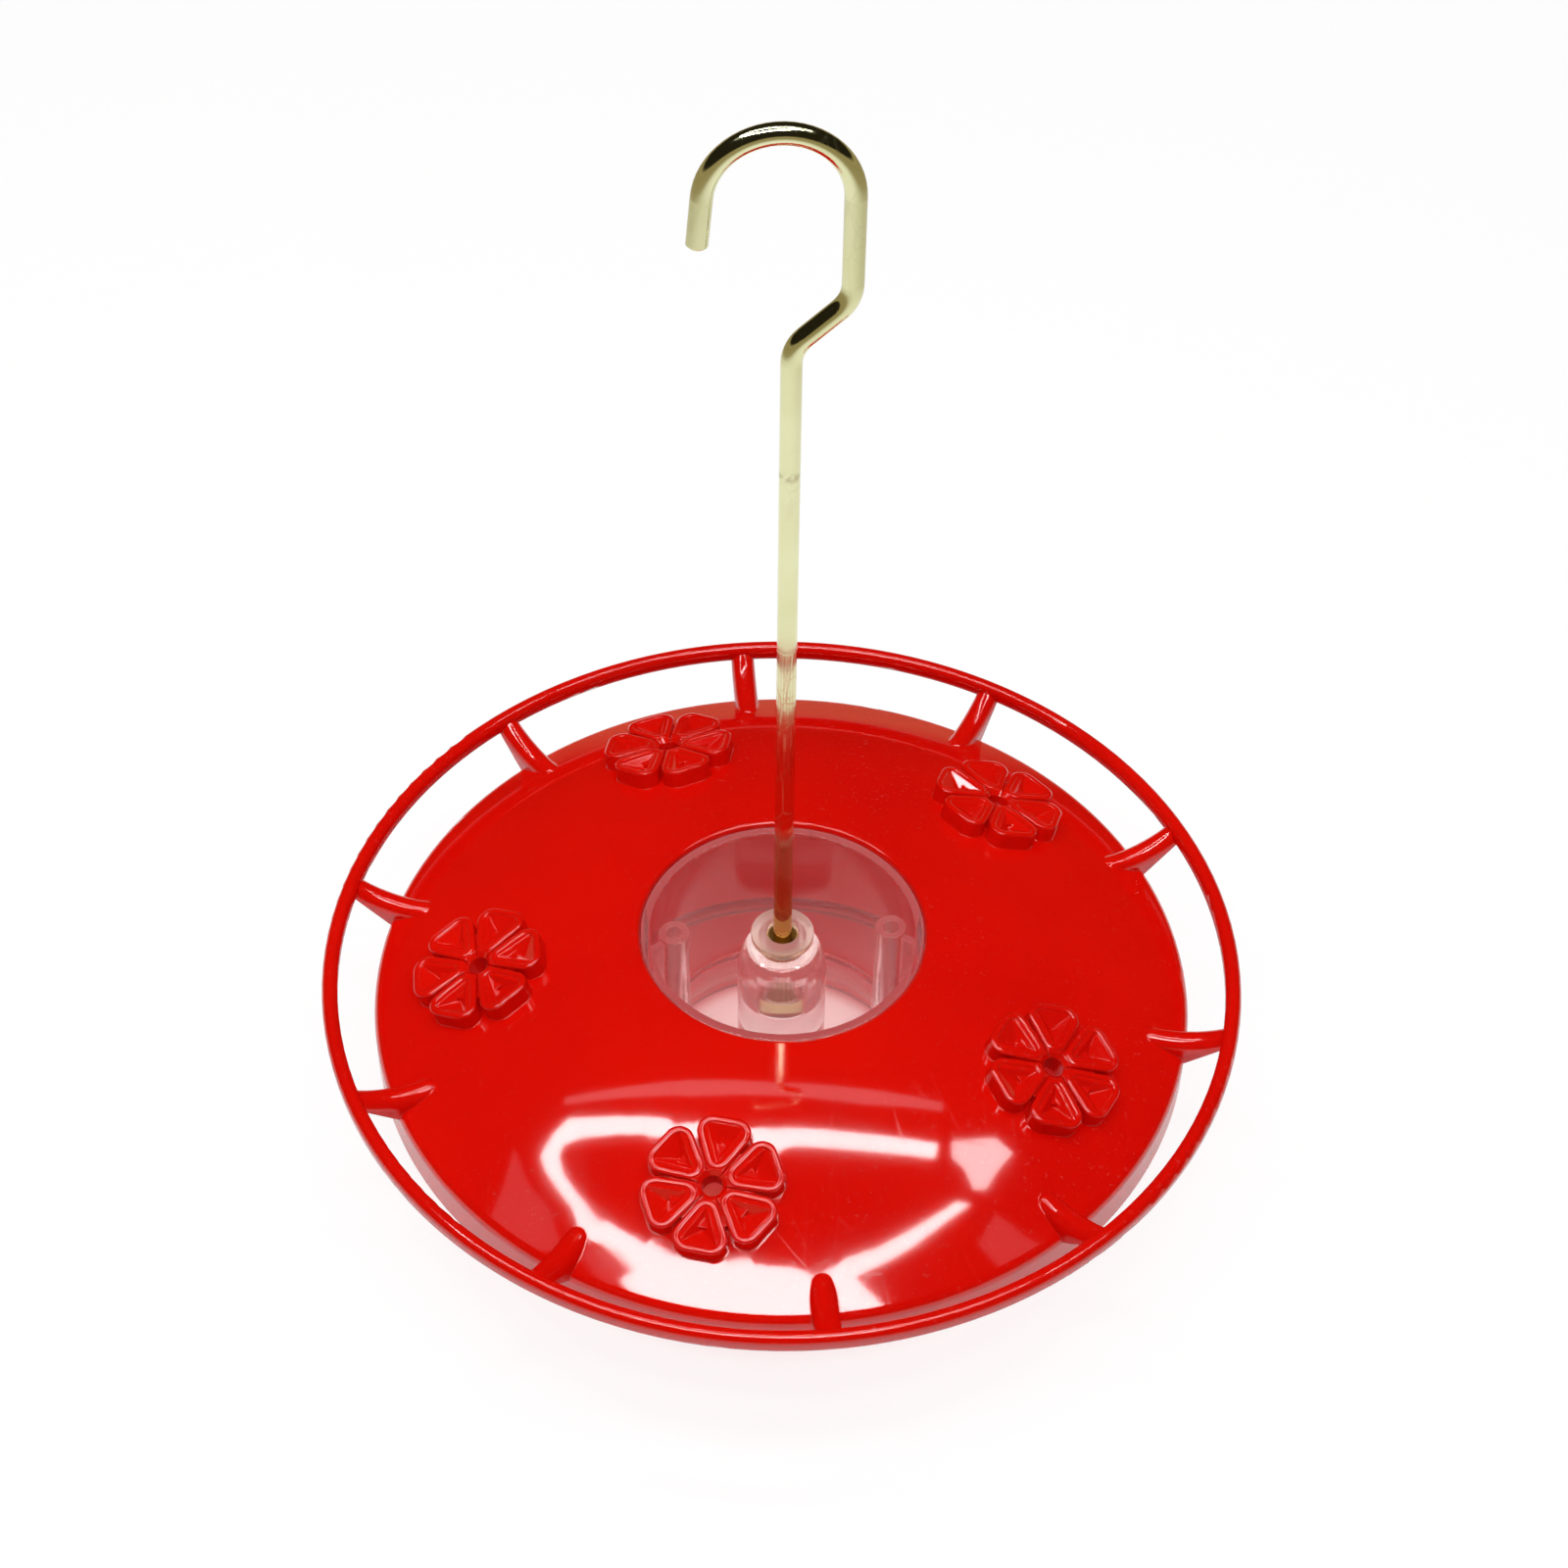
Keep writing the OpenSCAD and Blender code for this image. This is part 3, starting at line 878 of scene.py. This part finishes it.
@dataclass
class Cover:
    """Red moulded cover with its petal rims."""

    dome_radius: float = 212.43 * MM
    dome_centre: float = -156.157 * MM
    port_circle: float = 65.3 * MM
    port_count: int = 5
    petal_count: int = 6
    turn: float = math.radians(39.0)
    flower_height: float = 3.4 * MM
    petal_length: float = 14.6 * MM
    petal_width: float = 11.2 * MM
    petal_round: float = 3.2 * MM
    root_x: float = 4.0 * MM
    rim_inset: float = 0.78 * MM
    rim_half_width: float = 0.76 * MM
    rim_rise: float = 0.3 * MM
    rim_sink: float = 0.1 * MM
    rim_sides: int = 14
    corner_steps: int = 10

    def rims_tree(self, sizes: dict[str, float], material: Material) -> Tree:
        """Builds the tree of the rounded rims that frame the petals' dimples.

        Args:
            sizes: Counts and sizes by the names of the tree's inputs.
            material: The finish of the rims.

        Returns:
            The geometry tree.
        """
        inputs = {"Geometry": None, **sizes}
        tree, given, out = group_tree("petal_rims", "GeometryNodeTree", inputs, {"Geometry": "NodeSocketGeometry"})

        loop = put(tree, "GeometryNodeCurvePrimitiveCircle", {"Resolution": 3}, mode="RADIUS")
        index = put(tree, "GeometryNodeInputIndex").outputs[0]
        minus = maths(tree, "MULTIPLY", given["Half Width"], -1.0)
        pick = put(tree, "GeometryNodeIndexSwitch", data_type="VECTOR")
        pick.index_switch_items.new()
        fill(tree, pick, {"Index": index})
        for slot, (x, y) in enumerate((("Root", 0.0), ("End", minus), ("End", given["Half Width"])), start=1):
            spot = put(tree, "ShaderNodeCombineXYZ", {"X": given[x], "Y": y, "Z": given["Rim Level"]})
            fill(tree, pick, {slot: spot.outputs[0]})
        triangle = put(tree, "GeometryNodeSetPosition", {
            "Geometry": loop.outputs["Curve"], "Position": pick.outputs[0],
        })
        is_root = put(tree, "FunctionNodeCompare", {2: index, 3: 0}, data_type="INT", operation="EQUAL")
        radius = put(tree, "GeometryNodeSwitch", {
            "Switch": is_root.outputs[0], "False": given["Corner Round"], "True": given["Root Round"],
        }, input_type="FLOAT")
        fillet = put(tree, "GeometryNodeFilletCurve", {
            "Curve": triangle.outputs["Geometry"], "Radius": radius.outputs[0], "Count": self.corner_steps,
        }, mode="POLY")
        upright = put(tree, "GeometryNodeSetCurveNormal", {"Curve": fillet.outputs["Curve"]}, mode="Z_UP")

        ring = put(
            tree, "GeometryNodeCurvePrimitiveCircle", {"Resolution": self.rim_sides, "Radius": 1.0}, mode="RADIUS"
        )
        flat = put(tree, "ShaderNodeCombineXYZ", {
            "X": given["Rim Half Width"], "Y": given["Rim Half Height"], "Z": 1.0,
        })
        oval = put(tree, "GeometryNodeTransform", {"Geometry": ring.outputs["Curve"], "Scale": flat.outputs[0]})
        sweep = put(tree, "GeometryNodeCurveToMesh", {
            "Curve": upright.outputs["Curve"], "Profile Curve": oval.outputs["Geometry"],
        })

        flower = ring_of(tree, given["Petals"], sweep.outputs["Mesh"])
        rims = ring_of(
            tree, given["Ports"], flower, given["Port Circle"], given["Port Height"], given["Port Tilt"],
            given["First Turn"],
        )
        end_tree(tree, rims, material, out)
        return tree

    def petal_rims(self, material: Material) -> None:
        """Builds the rims of all the petals as one piece on the lid.

        Args:
            material: The cover's own finish.
        """
        # The rim's centre line is the petal's outline, moved inwards by rim_inset.
        corner_x = self.petal_length - self.petal_round
        corner_y = self.petal_width / 2 - self.petal_round
        side = math.atan2(corner_y, corner_x) + math.asin(self.petal_round / math.hypot(corner_x, corner_y))
        end = self.petal_length - self.rim_inset
        tip = self.rim_inset / math.sin(side)
        sizes = {
            "Ports": self.port_count,
            "Petals": self.petal_count,
            "First Turn": self.turn,
            "Port Circle": self.port_circle,
            "Port Height": self.dome_centre + math.sqrt(self.dome_radius**2 - self.port_circle**2),
            "Port Tilt": math.asin(self.port_circle / self.dome_radius),
            "Root": tip,
            "End": end,
            "Half Width": (end - tip) * math.tan(side),
            "Root Round": (self.root_x - tip) * math.sin(side) / (1 - math.sin(side)),
            "Corner Round": self.petal_round - self.rim_inset,
            "Rim Level": self.flower_height - self.rim_sink,
            "Rim Half Width": self.rim_half_width,
            "Rim Half Height": self.rim_rise + self.rim_sink,
        }
        made = run_tree("petal_rims", self.rims_tree(sizes, material), sizes)
        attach(made, Body.LID.value)

    def build(self, finish: RedGloss, effects: Effects) -> None:
        """Dresses the cover and adds its rims."""
        material = finish.build(effects)
        dress("cover", material, Body.LID)
        self.petal_rims(material)


@dataclass
class Dish:
    """Clear dish with its post, and the bush in it."""

    # Painted light from the red cover: the post stays nearly white, and the well's wall is painted pink with that
    # light.
    post: PaintedWallLight = PaintedWallLight(-1.0 * MM, 11.0 * MM, (0.99, 0.985, 0.985, 1.0))
    well: PaintedWallLight = PaintedWallLight(25.4 * MM, 30.0 * MM, (0.925, 0.64, 0.66, 1.0))
    bush_top: float = 52.2 * MM

    def build(self, effects: Effects) -> None:
        """Dresses the dish and the bush."""
        moulding = ClearMoulding("clear_dish", walls=(self.post, self.well))
        bush = ClearMoulding(
            "clear_bush", tint_and_red_light=(0.92, 0.79, 0.74, 1.0), second=(0.95, 0.83, 0.78, 1.0), clearness=0.88, ior=1.49,
            frost_z=self.bush_top,
        )
        dress("bowl", moulding.build(effects), Body.DISH)
        dress("rod_bush", bush.build(effects), Body.DISH)


@dataclass
class Insert:
    """Knurled brass insert that takes the rod's thread."""

    outer: float = 3.5 * MM
    root: float = 3.3 * MM
    bore: float = 2.16 * MM
    low: float = 35.9 * MM
    length: float = 16.0 * MM
    bevel: float = 0.4 * MM
    sink_radius: float = 3.0 * MM
    sink_depth: float = 2.0 * MM
    groove: float = 1.6 * MM
    ridges: int = 28
    ridge_width: float = 0.34 * MM
    ridge_sides: int = 6
    segments: int = 84

    def sleeve(self) -> bpy.types.Mesh:
        """Turns the insert's section round the axis.

        Returns:
            A closed mesh.
        """
        middle = self.low + self.length / 2
        top = self.low + self.length
        section = [
            (self.bore + self.bevel / 2, self.low),
            (self.root - self.bevel, self.low),
            (self.root, self.low + self.bevel),
            (self.root, middle - self.groove),
            (self.root - self.bevel, middle - self.groove + self.bevel),
            (self.root - self.bevel, middle + self.groove - self.bevel),
            (self.root, middle + self.groove),
            (self.root, top - self.bevel / 3),
            (self.root - self.bevel / 3, top),
            (self.sink_radius, top),
            (self.bore, top - self.sink_depth),
            (self.bore, self.low + self.bevel / 2),
        ]
        shape = bmesh.new()
        rings = []
        for step in range(self.segments):
            angle = 2 * math.pi * step / self.segments
            rings.append([shape.verts.new((r * math.cos(angle), r * math.sin(angle), z)) for r, z in section])
        for here, there in zip(rings, rings[1:] + rings[:1]):
            for spot in range(len(section)):
                after = (spot + 1) % len(section)
                shape.faces.new((here[spot], there[spot], there[after], here[after]))
        bmesh.ops.recalc_face_normals(shape, faces=shape.faces)
        mesh = bpy.data.meshes.new("insert_sleeve")
        shape.to_mesh(mesh)
        shape.free()
        return mesh

    def knurl_tree(self, sizes: dict[str, float], sleeve: Piece, material: Material) -> Tree:
        """Builds the tree that sets the knurl's ridges round the sleeve in two bands.

        Args:
            sizes: Counts and sizes by the names of the tree's inputs.
            sleeve: The turned sleeve.
            material: The finish of all of it.

        Returns:
            The geometry tree.
        """
        inputs = {"Geometry": None, **sizes}
        tree, given, out = group_tree("insert_knurl", "GeometryNodeTree", inputs, {"Geometry": "NodeSocketGeometry"})
        ridge = put(tree, "GeometryNodeMeshCylinder", {
            "Vertices": self.ridge_sides, "Radius": given["Ridge Width"], "Depth": given["Band Length"],
        })
        join = put(tree, "GeometryNodeJoinGeometry")
        for band in ("Low Band", "High Band"):
            ring = ring_of(tree, given["Ridges"], ridge.outputs["Mesh"], given["Ridge Circle"], given[band])
            fill(tree, join, {0: ring})
        turned = put(tree, "GeometryNodeObjectInfo", {"Object": sleeve})
        fill(tree, join, {0: turned.outputs["Geometry"]})
        end_tree(tree, join.outputs[0], material, out)
        return tree

    def build(self, finish: TurnedBrass, effects: Effects) -> None:
        """Builds the knurled insert in place of its plain CAD solid."""
        sleeve = link_object("insert_sleeve", self.sleeve())
        middle = self.low + self.length / 2
        band = self.length / 2 - self.groove - 2 * self.bevel
        sizes = {
            "Ridges": self.ridges,
            "Ridge Circle": self.outer - self.ridge_width,
            "Ridge Width": self.ridge_width,
            "Band Length": band,
            "Low Band": self.low + self.bevel + band / 2,
            "High Band": middle + self.groove + self.bevel + band / 2,
        }
        made = run_tree("knurled_insert", self.knurl_tree(sizes, sleeve, finish.build(effects)), sizes)
        for polygon in made.data.polygons:
            polygon.use_smooth = False
        bpy.data.objects.remove(sleeve)
        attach(made, Body.DISH.value)
        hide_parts("threaded_insert")


@dataclass
class Hanger:
    """Plated wire rod with its hook."""

    def build(self, finish: PlatedWire, effects: Effects) -> None:
        """Dresses the wire."""
        dress("hook_rod", finish.build(effects), Body.HANGER)


# -------------------------------------------------------------------- studio


@dataclass
class Studio:
    """Pale floor, overhead light frame, world and camera; the light panels' outlines are in millimetres."""

    floor_half: float = 4.0
    frame_height: float = 1.0
    frame_strength: float = 16.0
    patch_share: float = 0.6
    strip_share: float = 0.08
    faint_share: float = 0.035
    ambient: float = 0.3
    overhead: float = 0.018
    horizon: float = 0.4
    horizon_height: float = 0.1
    dark_tone: Colour = (1.0, 0.8, 0.45, 1.0)
    band: tuple[tuple[Spot, Spot], ...] = (
        ((380, 86), (369, 45)), ((199, 94), (197, 48)), ((0, 108), (-2, 61)), ((-198, 151), (-199, 103)),
        ((-367, 191), (-369, 142)), ((-500, 224), (-473, 157)), ((-547, 195), (-517, 151)),
        ((-588, 144), (-533, 124)), ((-575, 91), (-521, 70)), ((-537, 24), (-488, 12)), ((-498, -39), (-439, -51)),
        ((-467, -93), (-380, -109)), ((-425, -146), (-323, -159)), ((-361, -200), (-266, -196)),
    )
    right_band: tuple[tuple[Spot, Spot], ...] = (
        ((170, -261), (139, -218)), ((244, -224), (223, -188)), ((309, -185), (298, -144)),
        ((388, -121), (365, -101)), ((461, -61), (422, -58)),
    )
    broad: tuple[Spot, ...] = (
        (-391, -207), (-335, -264), (-207, -330), (-19, -372), (120, -372), (257, -318), (170, -261), (139, -218),
        (46, -235), (-76, -232), (-178, -221), (-266, -196), (-325, -183),
    )
    patch: tuple[Spot, ...] = (
        (415, 97), (475, 114), (538, 132), (588, 100), (534, 29), (508, -16), (470, -22), (447, 27), (413, 56),
    )
    strip: tuple[tuple[Spot, Spot], ...] = (
        ((-514, 289), (-514, 269)), ((-194, 256), (-195, 213)), ((5, 228), (4, 192)), ((205, 214), (203, 172)),
        ((398, 203), (397, 178)),
    )
    faint: tuple[tuple[Spot, ...], ...] = (
        ((-742, 19), (-689, -45), (-585, -116), (-561, -27), (-633, 76), (-670, 190)),
        ((484, -162), (533, -76), (614, -111), (672, -120), (537, -191)),
        ((-475, -160), (-410, -216), (-350, -202), (-402, -150)),
    )
    camera_at: Point = (-0.02364, -0.40705, 0.51857)
    heading: float = math.radians(3.3)
    down: float = math.radians(45.85)
    roll: float = math.radians(0.89)
    lens: float = 65.505
    sensor: float = 36.0

    def floor(self, effects: Effects) -> None:
        """Lays the pale floor under the dish."""
        half = self.floor_half
        mesh = bpy.data.meshes.new("floor")
        mesh.from_pydata([(-half, -half, 0), (half, -half, 0), (half, half, 0), (-half, half, 0)], [], [(0, 1, 2, 3)])
        mesh.materials.append(PaleFloor().build(effects))
        made = link_object("floor", mesh)
        LOG.info("floor: pale plane under the dish")

    def emitter(self, name: str, outlines: Sequence[Sequence[Spot]], strength: float) -> None:
        """Hangs lit panels of one name over the object.

        Args:
            name: The panels' name.
            outlines: Their outlines, seen from above.
            strength: Their emission.
        """
        points, faces = [], []
        for outline in outlines:
            faces.append(tuple(range(len(points), len(points) + len(outline))))
            points += [(x * MM, y * MM, self.frame_height) for x, y in outline]
        mesh = bpy.data.meshes.new(name)
        mesh.from_pydata(points, [], faces)
        material = bpy.data.materials.new(name)
        material.use_nodes = True
        tree = material.node_tree
        tree.nodes.clear()
        lamp = put(tree, "ShaderNodeEmission", {"Strength": strength})
        put(tree, "ShaderNodeOutputMaterial", {"Surface": lamp.outputs[0]})
        mesh.materials.append(material)
        made = link_object(name, mesh)
        made.visible_camera = False
        made.visible_transmission = False
        LOG.info("%s: %d light panels", name, len(outlines))

    @staticmethod
    def ribbon(pairs: Sequence[tuple[Spot, Spot]]) -> list[list[Spot]]:
        """Returns the quads between two rows of spots."""
        return [[a, c, d, b] for (a, b), (c, d) in zip(pairs, pairs[1:])]

    def light_frame(self) -> None:
        """Hangs the D-shaped frame of light panels over the cover."""
        full = self.frame_strength
        self.emitter("light_frame", self.ribbon(self.band) + self.ribbon(self.right_band), full)
        self.emitter("light_sheet", [self.broad], full)
        self.emitter("light_patch", [self.patch], full * self.patch_share)
        self.emitter("light_strip", self.ribbon(self.strip), full * self.strip_share)
        self.emitter("light_faint", self.faint, full * self.faint_share)

    def world(self) -> None:
        """Sets a white background, a plain ambient level and a dim ceiling for gloss."""
        world = bpy.data.worlds.new("studio")
        bpy.context.scene.world = world
        world.use_nodes = True
        tree = world.node_tree
        tree.nodes.clear()
        path = put(tree, "ShaderNodeLightPath").outputs
        height = height_of(tree, put(tree, "ShaderNodeTexCoord").outputs["Generated"])
        gloss = ramp(tree, height, 0.0, self.horizon_height, self.horizon, self.overhead)
        level = put(tree, "ShaderNodeMix", {0: path["Is Glossy Ray"], 2: self.ambient, 3: gloss}, data_type="FLOAT")
        seen = maths(tree, "MAXIMUM", path["Is Camera Ray"], path["Is Transmission Ray"])
        final = put(tree, "ShaderNodeMix", {0: seen, 2: level.outputs[0], 3: 1.0}, data_type="FLOAT")
        background = put(tree, "ShaderNodeBackground", {
            "Color": blend(tree, path["Is Glossy Ray"], WHITE, self.dark_tone), "Strength": final.outputs[0],
        })
        put(tree, "ShaderNodeOutputWorld", {"Surface": background.outputs[0]})
        arrange(tree)
        LOG.info("world: white background, ambient %.2f", self.ambient)

    def camera(self) -> None:
        """Puts the camera at the photograph's viewing angle."""
        forward = Vector((
            math.sin(self.heading) * math.cos(self.down),
            math.cos(self.heading) * math.cos(self.down),
            -math.sin(self.down),
        ))
        right = Vector((math.cos(self.heading), -math.sin(self.heading), 0.0))
        up = right.cross(forward)
        across = math.cos(self.roll) * right + math.sin(self.roll) * up
        upward = -math.sin(self.roll) * right + math.cos(self.roll) * up
        data = bpy.data.cameras.new("camera")
        data.lens = self.lens
        data.sensor_width = self.sensor
        data.clip_start, data.clip_end = 0.01, 50.0
        made = bpy.data.objects.new("camera", data)
        bpy.context.scene.collection.objects.link(made)
        turn = Matrix((across, upward, -forward)).transposed()
        made.matrix_world = Matrix.Translation(Vector(self.camera_at)) @ turn.to_4x4()
        bpy.context.scene.camera = made
        LOG.info("camera: %.1f mm lens", self.lens)

    def build(self, effects: Effects) -> None:
        """Sets up the camera, the floor and the light."""
        self.camera()
        self.floor(effects)
        self.light_frame()
        self.world()
        bpy.context.scene.view_settings.view_transform = "Standard"


def main() -> None:
    """Builds the studio and the feeder's sub-assemblies in order."""
    logging.basicConfig(level=logging.INFO, format="%(name)s: %(message)s")
    effects = Effects()
    Studio().build(effects)
    Cover().build(RedGloss(), effects)
    Dish().build(effects)
    Insert().build(TurnedBrass(), effects)
    Hanger().build(PlatedWire(), effects)


if __name__ == "__main__":
    main()
